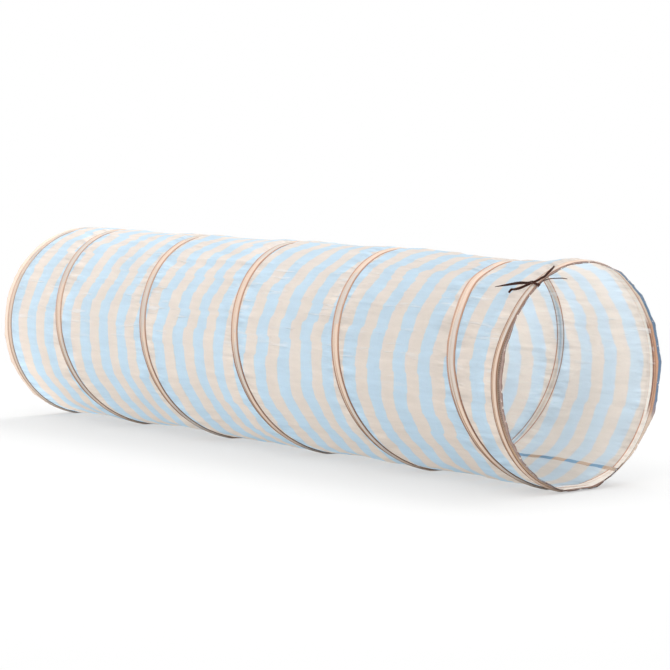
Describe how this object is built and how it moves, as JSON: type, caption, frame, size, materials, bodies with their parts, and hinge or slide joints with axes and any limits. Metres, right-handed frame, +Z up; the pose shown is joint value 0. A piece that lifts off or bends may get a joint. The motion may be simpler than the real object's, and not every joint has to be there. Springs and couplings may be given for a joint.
{
  "type": "kids play tunnel",
  "caption": "Pop-up crawl tunnel: a striped cloth tube over one coiled spring wire with a closed loop at each mouth, which folds flat end to end.",
  "frame": {"origin": "on the floor, under the middle of the tunnel's box", "axes": "+X along the tunnel towards the front mouth, the one with the ties; +Z up; -Y the side that faces the viewer of the picture"},
  "size_m": [1.8178, 0.4528, 0.4493],
  "materials": {
    "striped_cloth": "thin woven polyester, matt with a faint sheen, in pale blue and pale peach rings",
    "coil_tape": "thin woven tape, pinkish brown, with darker folded edges",
    "hem_tape": "dark brown woven binding",
    "tie_ribbon": "dark brown narrow ribbon, slightly glossy",
    "spring_steel": "bright drawn wire"
  },
  "bodies": {
    "front_mouth": {"front_loop_wire": "spring_steel", "front_loop_tape": "coil_tape", "front_hem": "hem_tape", "tie_knot": "tie_ribbon", "tie_loop": "tie_ribbon", "tie_tail_long": "tie_ribbon", "tie_tail_hooked": "tie_ribbon", "tie_tail_upper": "tie_ribbon", "tie_tail_mouth": "tie_ribbon"},
    "section_1": {"skin_1": "striped_cloth", "seam_1": "striped_cloth", "coil_wire_1": "spring_steel", "coil_tape_1": "coil_tape"},
    "section_2": {"skin_2": "striped_cloth", "seam_2": "striped_cloth", "coil_wire_2": "spring_steel", "coil_tape_2": "coil_tape"},
    "section_3": {"skin_3": "striped_cloth", "seam_3": "striped_cloth", "coil_wire_3": "spring_steel", "coil_tape_3": "coil_tape"},
    "section_4": {"skin_4": "striped_cloth", "seam_4": "striped_cloth", "coil_wire_4": "spring_steel", "coil_tape_4": "coil_tape"},
    "section_5": {"skin_5": "striped_cloth", "seam_5": "striped_cloth", "coil_wire_5": "spring_steel", "coil_tape_5": "coil_tape"},
    "rear_mouth": {"rear_loop_wire": "spring_steel", "rear_loop_tape": "coil_tape", "rear_hem": "hem_tape"}
  },
  "joints": [
    {"name": "section_1_slide", "type": "slide", "parent": "front_mouth", "child": "section_1", "axis": [1, 0, 0], "range_m": [0, 0.12847], "stiffness_N_per_m": 178.5, "springref_m": -0.0116, "deforming": ["skin_1", "seam_1", "coil_wire_1", "coil_tape_1"]},
    {"name": "section_2_slide", "type": "slide", "parent": "section_1", "child": "section_2", "axis": [1, 0, 0], "range_m": [0, 0.35379], "stiffness_N_per_m": 64.8, "springref_m": -0.0318, "deforming": ["skin_2", "seam_2", "coil_wire_2", "coil_tape_2"]},
    {"name": "section_3_slide", "type": "slide", "parent": "section_2", "child": "section_3", "axis": [1, 0, 0], "range_m": [0, 0.34199], "stiffness_N_per_m": 67.1, "springref_m": -0.0308, "deforming": ["skin_3", "seam_3", "coil_wire_3", "coil_tape_3"]},
    {"name": "section_4_slide", "type": "slide", "parent": "section_3", "child": "section_4", "axis": [1, 0, 0], "range_m": [0, 0.34199], "stiffness_N_per_m": 67.1, "springref_m": -0.0308, "deforming": ["skin_4", "seam_4", "coil_wire_4", "coil_tape_4"]},
    {"name": "section_5_slide", "type": "slide", "parent": "section_4", "child": "section_5", "axis": [1, 0, 0], "range_m": [0, 0.34821], "stiffness_N_per_m": 65.9, "springref_m": -0.0313, "deforming": ["skin_5", "seam_5", "coil_wire_5", "coil_tape_5"]},
    {"name": "rear_mouth_slide", "type": "slide", "parent": "section_5", "child": "rear_mouth", "axis": [1, 0, 0], "range_m": [0, 0.13745], "stiffness_N_per_m": 166.9, "springref_m": -0.0124}
  ],
  "couplings": [
    {"joint": "section_1_slide", "follows": "section_3_slide", "ratio": 0.37566},
    {"joint": "section_2_slide", "follows": "section_3_slide", "ratio": 1.0345},
    {"joint": "section_4_slide", "follows": "section_3_slide", "ratio": 1},
    {"joint": "section_5_slide", "follows": "section_3_slide", "ratio": 1.0182},
    {"joint": "rear_mouth_slide", "follows": "section_3_slide", "ratio": 0.40191}
  ]
}
